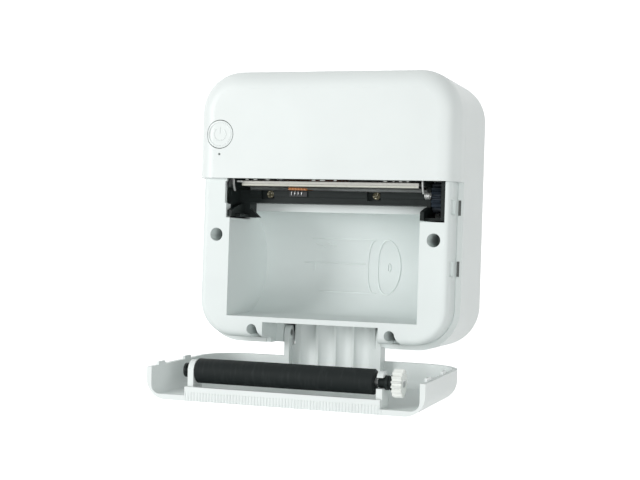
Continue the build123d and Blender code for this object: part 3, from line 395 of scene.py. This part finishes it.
def worked_metal(name, colour, rough, stretch, depth=0.01, metallic=1.0):
    """Metal of a colour and a roughness, streaked by a noise that is stretched along the work."""
    finish = Finish(name, Metallic=metallic)
    streaks = finish.noise(5.0, 3.0, stretch)
    stains = finish.noise(0.6, 2.0)
    body = finish.mix(streaks, shade(colour, 0.82), shade(colour, 1.12))
    return finish.feed(
        Base_Color=finish.mix(stains * 0.3, body, shade(colour, 0.7)),
        Roughness=streaks * 0.2 + rough,
        Normal=finish.bump(streaks, depth, 0.5),
    )


finishes["steel"] = worked_metal("ground_steel", (0.56, 0.57, 0.57), 0.24, (1.0, 0.08, 0.08))
finishes["motor"] = worked_metal("plated_can", (0.60, 0.60, 0.58), 0.22, (0.05, 1.0, 1.0))
finishes["sink"] = worked_metal(
    "rolled_aluminium", (0.80, 0.79, 0.74), 0.45, (0.03, 1.0, 1.0), metallic=0.6
)
clip_steel = worked_metal("bright_strip", (0.86, 0.87, 0.86), 0.30, (1.0, 0.1, 1.0), metallic=0.6)

plating = Finish("olive_plate", Metallic=0.8)
plate_wear = plating.ramp(plating.noise(1.9, 3.0), [(0.54, 0.0), (0.66, 1.0)])
screw_plate = plating.feed(
    Base_Color=plating.mix(plate_wear, (0.075, 0.068, 0.040, 1), (0.78, 0.74, 0.58, 1)),
    Roughness=plate_wear * -0.15 + 0.38,
    Normal=plating.bump(plate_wear, 0.12, 0.8),
)
print("metals:", clip_steel.name, screw_plate.name)

# %% [markdown]
# ## Print head ceramic
#
# The head is an alumina plate, cream at its cut front edge.  Behind the edge its face is painted
# dark, a painted shade for the shade that falls under the head.  Near the edge runs the heater
# line, a glass rib with a row of fine electrodes behind it.  A stripe by depth draws the line, and
# a pattern across X draws the electrodes.

# %% Head finish
ceramic = Finish("glazed_ceramic", IOR=1.6, Coat_Roughness=0.08)
ceramic_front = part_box("thermal_head")[1].z / mm
front_band = 4.0
electrode_pitch = 0.5
heater_middle, heater_half = 0.28, 0.04
back_share = (ceramic_front - ceramic.axis("Z")) / front_band
heater_line = ceramic.ramp(back_share, [
    (heater_middle - 2 * heater_half, 0.0), (heater_middle - heater_half, 1.0),
    (heater_middle + heater_half, 1.0), (heater_middle + 2 * heater_half, 0.0),
])
electrode_share = (ceramic.axis("X") / electrode_pitch).maths("FRACT")
electrodes = ceramic.ramp(electrode_share, [(0.45, 0.0), (0.55, 1.0)])
behind_line = ceramic.ramp(back_share, [(0.36, 0.0), (0.40, 1.0)])
# Painted shade: the face behind the front edge is coloured dark for the shade under the head.
painted_shade_past_edge = ceramic.ramp(back_share, [(0.03, 0.0), (0.06, 1.0)])
glaze = ceramic.noise(1.2, 3.0)
glaze_cream = ceramic.mix(glaze, (0.66, 0.66, 0.58, 1), (0.78, 0.78, 0.70, 1))
cream_and_painted_shade = ceramic.mix(painted_shade_past_edge, glaze_cream, (0.040, 0.046, 0.042, 1))
with_electrodes = ceramic.mix(electrodes * behind_line * 0.4, cream_and_painted_shade, (0.22, 0.19, 0.13, 1))
finishes["head"] = ceramic.feed(
    Base_Color=ceramic.mix(heater_line * 0.85, with_electrodes, (0.07, 0.06, 0.055, 1)),
    Roughness=glaze * 0.15 + 0.22,
    Coat_Weight=heater_line * 0.5 + 0.3,
    Normal=ceramic.bump(heater_line, 0.03, 0.5),
)
print("head: heater line", round(heater_middle * front_band, 2), "mm behind the front edge")

# %% [markdown]
# ## Amber film
#
# The flat ribbons are copper tracks between two films of amber polyimide.  The tracks run the
# ribbon's length, so a pattern across X shows them: copper at either end of each pitch, bare film
# in the middle.  The same recipe in darker colours paints the shade on the ribbon behind the head.

# %% Film finishes
track_pitch = 1.0


def copper_film(name, shadow, light, copper):
    """Film between two colours, over copper tracks that run along Y and Z."""
    finish = Finish(name, IOR=1.65, Coat_Weight=0.4)
    share = (finish.axis("X") / track_pitch).maths("FRACT")
    tracks = finish.ramp(share, [(0.0, 1.0), (0.42, 1.0), (0.50, 0.0), (0.92, 0.0), (1.0, 1.0)])
    waves = finish.noise(0.5, 2.0)
    return finish.feed(
        Base_Color=finish.mix(tracks * 0.75, finish.mix(waves, shadow, light), copper),
        Roughness=waves * 0.2 + 0.25,
        Metallic=tracks * 0.35,
        Normal=finish.bump(tracks, 0.03, 0.6),
    )


finishes["flex"] = copper_film(
    "amber_film", (0.42, 0.13, 0.022, 1), (0.60, 0.21, 0.040, 1), (0.86, 0.42, 0.22, 1)
)
# Painted shade: the amber film darkened for the shade behind the head.
shaded_amber_film = copper_film(
    "shaded_amber_film", (0.045, 0.012, 0.006, 1), (0.09, 0.022, 0.009, 1), (0.11, 0.035, 0.014, 1)
)
print("film tracks:", track_pitch, "mm apart")

# %% [markdown]
# ## Circuit board
#
# Solder resist lies over the copper like green varnish, paler and prouder over each track.  Two
# sets of thin stripes, one along X and one along Y, each shown in its own patches of a coarse
# noise, give runs that turn corners.  Where a stripe of one set crosses a stripe of the other, a
# tinned pad shows.

# %% Board finish
board_pitch = 1.2
resist = Finish("solder_resist", IOR=1.5, Coat_Weight=0.5)
patches = resist.ramp(resist.noise(0.16, 1.0), [(0.48, 0.0), (0.50, 1.0)])


def board_stripes(letter):
    """Thin stripes a pitch apart across one axis."""
    share = (resist.axis(letter) / board_pitch).maths("FRACT")
    return resist.ramp(share, [(0.0, 1.0), (0.25, 1.0), (0.32, 0.0), (1.0, 0.0)])


runs = board_stripes("Y") * patches + board_stripes("X") * (1 - patches)
pads = board_stripes("X") * board_stripes("Y")
varnish = resist.mix(runs, (0.010, 0.10, 0.035, 1), (0.025, 0.19, 0.07, 1))
finishes["board"] = resist.feed(
    Base_Color=resist.mix(pads * 0.6, varnish, (0.70, 0.71, 0.68, 1)),
    Metallic=pads * 0.6,
    Roughness=resist.noise(1.0) * 0.2 + 0.28,
    Normal=resist.bump(runs, 0.03, 0.6),
)
print("board:", finishes["board"].name)

# %% [markdown]
# ## Small black parts, the light, the cell
#
# Chip packages are black epoxy with a sandy face.  The status light is clear resin, milky at the
# base where its chip sits.  The cell is an aluminium pouch whose skin is never quite flat, so a
# slow bump wrinkles it.

# %% Package, lens and pouch finishes
epoxy = Finish("black_epoxy", IOR=1.55)
epoxy_sand = epoxy.noise(9.0, 2.0)
finishes["black_part"] = epoxy.feed(
    Base_Color=epoxy.mix(epoxy_sand, (0.014, 0.014, 0.016, 1), (0.050, 0.050, 0.054, 1)),
    Roughness=epoxy_sand * 0.25 + 0.45,
    Normal=epoxy.bump(epoxy_sand, 0.02, 0.5),
)

lens = Finish("clear_resin", IOR=1.52, Coat_Weight=0.6)
milk = lens.noise(1.5, 2.0)
finishes["light"] = lens.feed(
    Base_Color=lens.mix(milk, (0.62, 0.74, 0.70, 1), (0.85, 0.92, 0.90, 1)),
    Roughness=milk * 0.1 + 0.08,
    Normal=lens.bump(milk, 0.01, 0.3),
)

pouch = Finish("foil_pouch", Metallic=0.85)
wrinkles = pouch.noise(0.22, 4.0)
finishes["cell"] = pouch.feed(
    Base_Color=pouch.mix(wrinkles, (0.52, 0.54, 0.57, 1), (0.66, 0.68, 0.71, 1)),
    Roughness=wrinkles * 0.25 + 0.22,
    Normal=pouch.bump(wrinkles, 0.35, 0.7),
)
print("finishes:", len(finishes))

# %% [markdown]
# ## Dress the solids
#
# Every packed solid carries a slot named for its material.  Assigning to the object's slots leaves
# the mesh alone.  A few solids of one slot differ on the real printer: the clips are brighter than
# the shafts, the screws that hold the mechanism have an olive plating, and one gear is grey.  The
# ribbon behind the head gets a darker copy of the sensor's film, which paints the shade it lies in.

# %% Assign finishes
special = {
    "head_clip_left": clip_steel,
    "head_clip_right": clip_steel,
    "mech_screws": screw_plate,
    "drive_gear": slate_acetal,
    "head_ribbon": shaded_amber_film,
}
for node, solid in nodes.items():
    for holder in solid.material_slots:
        holder.material = special.get(node, finishes[holder.material.name])
print("dressed:", sum(len(solid.material_slots) for solid in nodes.values()), "slots")

# %% [markdown]
# ## Sweeps on arrays
#
# The small pieces are thin ribs, wires and soft blocks.  A sweep computes them whole: a path of
# points, two directions across it at each point, and an ellipse in those directions.  The points
# form a grid, one row a ring, so the faces are a grid of quads that closes on itself, plus a cap at
# each open end.

# %% Sweep helpers
ring_points = 12
end_share = 0.35
block_rows, block_columns = 14, 28
pole_share = 0.97
towards_front = (0, 0, 1)


def grid_faces(rows, columns, closed):
    """Quads between the rows of a grid whose columns close.  The rows close too, or get caps."""
    starts = np.arange(rows if closed else rows - 1)
    row, column = np.meshgrid(starts, np.arange(columns), indexing="ij")
    here, after, beside = row * columns, (row + 1) % rows * columns, (column + 1) % columns
    corners = (here + column, here + beside, after + beside, after + column)
    faces = np.stack(corners, axis=-1).reshape(-1, 4).tolist()
    if not closed:
        first_row = list(range(columns))
        last_row = list(range((rows - 1) * columns, rows * columns))
        faces += [first_row[::-1], last_row]
    return faces


def unit(vectors):
    """Each vector divided by its length."""
    return vectors / np.linalg.norm(vectors, axis=-1, keepdims=True)


def sweep(path, up, half_width, half_height, closed=False):
    """Rings along a path: centre + across * half_width * cos(a) + up * half_height * sin(a).

    Across is up x tangent, so that the faces point outwards.  The half width may change along the
    path.  Open ends shrink to a third over the last point and are capped.
    """
    path = np.asarray(path, float)
    if closed:
        tangent = unit(np.roll(path, -1, axis=0) - np.roll(path, 1, axis=0))
    else:
        tangent = unit(np.gradient(path, axis=0))
    up = np.broadcast_to(np.asarray(up, float), path.shape)
    across = unit(np.cross(up, tangent))
    size = np.ones(len(path))
    if not closed:
        size[[0, -1]] = end_share
    turn = np.linspace(0, 2 * np.pi, ring_points, endpoint=False)
    wide = across[:, None] * ((half_width * size)[:, None] * np.cos(turn))[..., None]
    tall = unit(up)[:, None] * (half_height * size[:, None] * np.sin(turn))[..., None]
    points = (path[:, None] + wide + tall).reshape(-1, 3)
    return points, grid_faces(len(path), ring_points, closed)


def soft_block(centre, half, power):
    """A superquadric: half * (c(u) c(v), c(u) s(v), s(u)), with cosines and sines to a power."""
    rise = np.linspace(-pole_share, pole_share, block_rows) * np.pi / 2
    turn = np.linspace(0, 2 * np.pi, block_columns, endpoint=False)

    def bend(wave):
        return np.sign(wave) * np.abs(wave) ** power

    u, v = np.meshgrid(rise, turn, indexing="ij")
    reach = bend(np.cos(u))
    grid = np.stack([reach * bend(np.cos(v)), reach * bend(np.sin(v)), bend(np.sin(u))], axis=-1)
    points = np.asarray(centre) + (grid * np.asarray(half)).reshape(-1, 3)
    return points, grid_faces(block_rows, block_columns, closed=False)


def make_piece(name, shapes, material, body):
    """One object from several shapes in millimetres.  It rides on a body and names its slot."""
    points = np.concatenate([shape[0] for shape in shapes])
    starts = np.cumsum([0] + [len(shape[0]) for shape in shapes[:-1]])
    faces = [
        [start + corner for corner in face]
        for start, shape in zip(starts, shapes)
        for face in shape[1]
    ]
    mesh = bpy.data.meshes.new(name)
    mesh.from_pydata((points * mm).tolist(), [], faces)
    smooth = [len(polygon.vertices) == 4 for polygon in mesh.polygons]
    mesh.polygons.foreach_set("use_smooth", smooth)
    mesh.materials.append(material)
    piece = bpy.data.objects.new(name, mesh)
    scene.collection.objects.link(piece)
    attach(piece, body)
    print(name, "faces:", len(mesh.polygons))


# %% [markdown]
# ## Loading mark on the compartment's back
#
# Such printers show how the roll goes in with a small raised drawing: a roll seen from its end, its
# far rim, and the paper's edges.  The drawing is moulded on the round back of the compartment, so
# its lines live on a cylinder about the roll.  A flat drawing in x and s, the length round the
# back, is bent by height = axis + radius * sin(s / radius), and each line is a rib swept along it
# with "up" pointing at the roll's axis.

# %% Loading mark
case_half_height = 43.05
case_depth = 44.3
roll_height = 25.6
roll_depth = 19.7
roll_radius = 16.6
rib_half_width = 0.24
rib_rise = 0.30


def bent_rib(x, s, closed=False):
    """A rib on the compartment's back: x stays, s goes round the roll's axis."""
    x, s = np.broadcast_arrays(np.asarray(x, float), np.asarray(s, float))
    angle = s / roll_radius
    height = roll_height + roll_radius * np.sin(angle)
    depth = roll_depth + roll_radius * np.cos(angle)
    path = np.stack([x, height - case_half_height, case_depth - depth], axis=-1)
    inward = np.stack([0 * x, -np.sin(angle), np.cos(angle)], axis=-1)
    return sweep(path, inward, rib_half_width, rib_rise, closed)


around = np.linspace(0, 2 * np.pi, 64, endpoint=False)
rim_turn = np.linspace(-1, 1, 40)
straight = np.linspace(0, 1, 24)
roll_end_x, roll_end_s = 12.3, -0.75
roll_end_half = (3.9, 9.5)
core_half = (0.5, 1.3)
far_rim_x, far_rim_bulge = 8.4, 3.4
edge_starts = [(-14.0, 8.7), (-11.3, -9.9), (-17.7, 0.2)]
edge_lengths = [22.0, 20.3, 21.9]
tick_start, tick_length = (-13.8, -2.6), 2.6
dash_starts = [(-13.2, 6.6), (-9.0, 6.9)]
dash_length, dash_drop = 3.2, 1.0


def roll_oval(half):
    """An ellipse about the middle of the drawn roll's end: half * (cos(a), sin(a)) in x and s."""
    x = roll_end_x + half[0] * np.cos(around)
    s = roll_end_s + half[1] * np.sin(around)
    return bent_rib(x, s, closed=True)


rim_bow = far_rim_bulge * (1 - rim_turn**2) ** 0.5
far_rim = bent_rib(far_rim_x - rim_bow, roll_end_s + roll_end_half[1] * rim_turn)
edges = [bent_rib(x + length * straight, s) for (x, s), length in zip(edge_starts, edge_lengths)]
tick = bent_rib(tick_start[0], tick_start[1] + tick_length * straight)
dashes = [bent_rib(x + dash_length * straight, s - dash_drop * straight) for x, s in dash_starts]
mark_lines = [roll_oval(roll_end_half), far_rim, roll_oval(core_half), *edges, tick, *dashes]
make_piece("loading_mark", mark_lines, finishes["frame"], "case")

# %% [markdown]
# ## Standby mark on the button
#
# The power button is a plain white cap, so the finger finds it by a raised rim and the common
# standby sign: an open circle with a bar in its gap.  Both are moulded, a tenth of a millimetre
# proud.  They ride on the button and travel with it.

# %% Button mark
button_low, button_high = (np.array(side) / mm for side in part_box("power_button"))
button_centre = (button_low + button_high) / 2
button_face = button_high[2]


def on_button(x, y):
    """Points on the button's face, from its centre."""
    x, y = np.broadcast_arrays(np.asarray(x, float), np.asarray(y, float))
    face = np.full(x.shape, button_face)
    return np.stack([button_centre[0] + x, button_centre[1] + y, face], axis=-1)


def button_circle(radius, turn):
    """Points on a circle about the button's centre: radius * (cos(a), sin(a))."""
    return on_button(radius * np.cos(turn), radius * np.sin(turn))


sign_radius = 2.0
sign_half, sign_rise = 0.22, 0.12
bar_start, bar_length = 0.2, 2.1
rim_radius = 3.75
rim_half, rim_rise = 0.16, 0.1
open_turn = np.radians(np.linspace(130, 410, 48))
sign_bar = on_button(0.0, bar_start + bar_length * straight)
button_lines = [
    sweep(button_circle(sign_radius, open_turn), towards_front, sign_half, sign_rise),
    sweep(sign_bar, towards_front, sign_half, sign_rise),
    sweep(button_circle(rim_radius, around), towards_front, rim_half, rim_rise, True),
]
make_piece("standby_mark", button_lines, finishes["shell"], "power_button")

# %% [markdown]
# ## Details on the head strip
#
# Along the front of the print head a thin line of dark adhesive shows between the ceramic and its
# heat sink.  Beads of clear resin seal the fixing points on top, each with its own x and half
# length, and a small bright contact sits at the left end.  The beads are soft blocks, a shape
# between a box and a ball.

# %% Head details
sink_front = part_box("head_sink")[1].z / mm
strip_low, strip_high = (np.array(side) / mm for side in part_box("thermal_head"))
glue = Finish("dark_adhesive", IOR=1.5)
glue_ripple = glue.noise(1.5, 2.0, (0.4, 1.0, 1.0))
glue_grey = glue.feed(
    Base_Color=glue.mix(glue_ripple, (0.10, 0.10, 0.09, 1), (0.26, 0.26, 0.24, 1)),
    Roughness=glue_ripple * 0.3 + 0.3,
)
glue_inset, glue_proud, glue_points = 0.6, 0.02, 60
glue_half, glue_rise = 0.09, 0.12
glue_x = np.linspace(strip_low[0] + glue_inset, strip_high[0] - glue_inset, glue_points)
glue_y = np.full(glue_points, strip_high[1])
glue_path = np.stack([glue_x, glue_y, np.full(glue_points, sink_front + glue_proud)], axis=-1)
glue_line = sweep(glue_path, towards_front, glue_half, glue_rise)
make_piece("head_glue", [glue_line], glue_grey, "print_head")

resin = Finish("clear_bead", IOR=1.52, Coat_Weight=0.7)
resin_cloud = resin.noise(1.2, 2.0)
bead_resin = resin.feed(
    Base_Color=resin.mix(resin_cloud, (0.45, 0.46, 0.42, 1), (0.82, 0.83, 0.80, 1)),
    Roughness=resin_cloud * 0.2 + 0.1,
)
left_beads = [(-27.4, 0.55), (-24.5, 0.7), (-20.4, 0.7)]
middle_beads = [(-4.9, 0.6), (-2.0, 0.9), (2.2, 0.5)]
right_beads = [(18.5, 0.6), (21.2, 0.3), (23.4, 0.45), (25.7, 0.4)]
bead_y = 51.9 - case_half_height
bead_rise, bead_proud, bead_power = 0.26, 0.3, 0.7
beads = [
    soft_block((x, bead_y, sink_front), (half, bead_rise, bead_proud), bead_power)
    for x, half in left_beads + middle_beads + right_beads
]
make_piece("head_beads", beads, bead_resin, "print_head")

contact_past_end, contact_drop = 0.9, 0.7
contact_half, contact_power = (0.95, 0.32, 0.5), 0.3
contact_centre = (strip_low[0] - contact_past_end, bead_y - contact_drop, sink_front)
contact = soft_block(contact_centre, contact_half, contact_power)
make_piece("head_contact", [contact], clip_steel, "print_head")

# %% [markdown]
# ## Sensor pins, the ribbon's tongue and the catch's spring
#
# Under the amber ribbon the paper sensor stands on four leads, and the ribbon's free end bends down
# over them as a flat tongue.  At the right end of the bar a small wound spring holds the lid's
# catch.  A coil is a path too: a circle in depth and height whose x grows with the turn.

# %% Pins, tongue and spring
sensor_low, sensor_high = (np.array(side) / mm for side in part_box("paper_sensor"))
pin_inset, pin_lift, pin_length, pin_lean = (0.9, 1.6), 0.35, 1.7, 0.25
pin_proud, pin_bulge = 0.10, 0.15
pin_half, pin_rise = 0.15, 0.12
pin_places = np.linspace(sensor_low[0] + pin_inset[0], sensor_high[0] - pin_inset[1], 4)
pin_drop = np.linspace(0, 1, 8)


def sensor_pin(x):
    """A lead down the sensor's face, with t from 0 to 1: z = face + bulge * sin(pi * t)."""
    y = sensor_high[1] + pin_lift - pin_length * pin_drop
    z = sensor_high[2] + pin_proud + pin_bulge * np.sin(np.pi * pin_drop)
    path = np.stack([x - pin_lean * pin_drop, y, z], axis=-1)
    return sweep(path, towards_front, pin_half, pin_rise)


pins = [sensor_pin(x) for x in pin_places]
make_piece("sensor_pins", pins, finishes["steel"], "case")

tongue_points = 30
tongue_ends = (-15.35, -8.9)
tongue_y = 49.36 - case_half_height
tongue_proud = 0.7
tongue_half, tongue_thick = 0.42, 0.07
tongue_x = np.linspace(*tongue_ends, tongue_points)
tongue_z = np.full(tongue_points, sensor_high[2] + tongue_proud)
tongue_path = np.stack([tongue_x, np.full(tongue_points, tongue_y), tongue_z], axis=-1)
tongue_taper = np.linspace(1.0, 0.45, tongue_points)
tongue = sweep(tongue_path, towards_front, tongue_half * tongue_taper, tongue_thick)
make_piece("sensor_tongue", [tongue], finishes["flex"], "case")

spring_turns, spring_pitch = 4.0, 0.42
spring_radius, spring_wire = 0.95, 0.17
spring_place = np.array([29.95, 47.8 - case_half_height, 32.25])
spring_turn = np.linspace(0, 2 * np.pi * spring_turns, 96)
flat = np.zeros(len(spring_turn))
spring_out = np.stack([flat, np.cos(spring_turn), np.sin(spring_turn)], axis=-1)
coil = spring_place + spring_radius * spring_out
coil[:, 0] += spring_pitch * spring_turn / (2 * np.pi)
spring = sweep(coil, spring_out, spring_wire, spring_wire)
make_piece("catch_spring", [spring], clip_steel, "case")

# %% [markdown]
# ## Painted shade in the tab notches, and the dust bead
#
# Two tabs on each side of the lid's rim drop into notches in the rear shell's edge.  On the floor
# of each notch lies a grey pad of painted shade, which reads as the dark window of the notch from
# in front.  Between the rear shell and the frame runs a gap of a quarter of a millimetre, closed by
# a soft pale bead.  The bead is two sweeps, each along half a rounded rectangle: down one side,
# round the corner, and part of the way along the bottom.

# %% Seats and bead
shell_low, shell_high = (np.array(side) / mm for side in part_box("rear_shell"))
# Painted shade: the grey of these pads stands for the dark inside each notch.
notch_shade_finish = Finish("painted_notch_shade", IOR=1.45)
notch_shade_noise = notch_shade_finish.noise(3.0, 4.0)
notch_shade_paint = notch_shade_finish.feed(
    Base_Color=notch_shade_finish.mix(notch_shade_noise, (0.13, 0.14, 0.135, 1), (0.22, 0.23, 0.225, 1)),
    Roughness=notch_shade_noise * 0.1 + 0.85,
    Normal=notch_shade_finish.bump(notch_shade_noise, 0.05, 0.6),
)
tab_heights = (23.2, 41.9)
tab_span = 4.6
seat_half, seat_power = (0.47, tab_span / 2, 0.05), 0.15
seat_inset, seat_depth = 1.15, 0.58
seat_x, seat_z = shell_high[0] - seat_inset, shell_high[2] - seat_depth
seat_places = [
    (sign * seat_x, low + tab_span / 2 - case_half_height, seat_z)
    for sign in (-1, 1)
    for low in tab_heights
]
shade_pads = [soft_block(place, seat_half, seat_power) for place in seat_places]
make_piece("notch_shade_pads", shade_pads, notch_shade_paint, "case")

gap_inset, corner_radius = 1.725, 13.2
dust_top_y, dust_end_x = 24.0, 26.0
dust_depth, dust_half, dust_thick = 0.22, 0.12, 0.15
dust_radius = corner_radius - gap_inset
side_x, bottom_y = shell_high[0] - gap_inset, shell_low[1] + gap_inset
bend_x, bend_y = side_x - dust_radius, bottom_y + dust_radius
dust_turn = np.linspace(0, np.pi / 2, 24)
dust_side = np.linspace((side_x, dust_top_y), (side_x, bend_y), 30)
dust_spoke = np.stack([np.cos(dust_turn), -np.sin(dust_turn)], axis=-1)
dust_corner = (bend_x, bend_y) + dust_radius * dust_spoke
dust_bottom = np.linspace((bend_x, bottom_y), (dust_end_x, bottom_y), 4)
dust_line = np.concatenate([dust_side, dust_corner[1:], dust_bottom[1:]])
dust_z = np.full(len(dust_line), shell_high[2] - dust_depth)
dust_path = np.column_stack([dust_line, dust_z])
other_path = dust_path[::-1] * (-1, 1, 1)
dust_sides = [
    sweep(path, towards_front, dust_half, dust_thick) for path in (dust_path, other_path)
]
make_piece("dust_bead", dust_sides, finishes["frame"], "case")
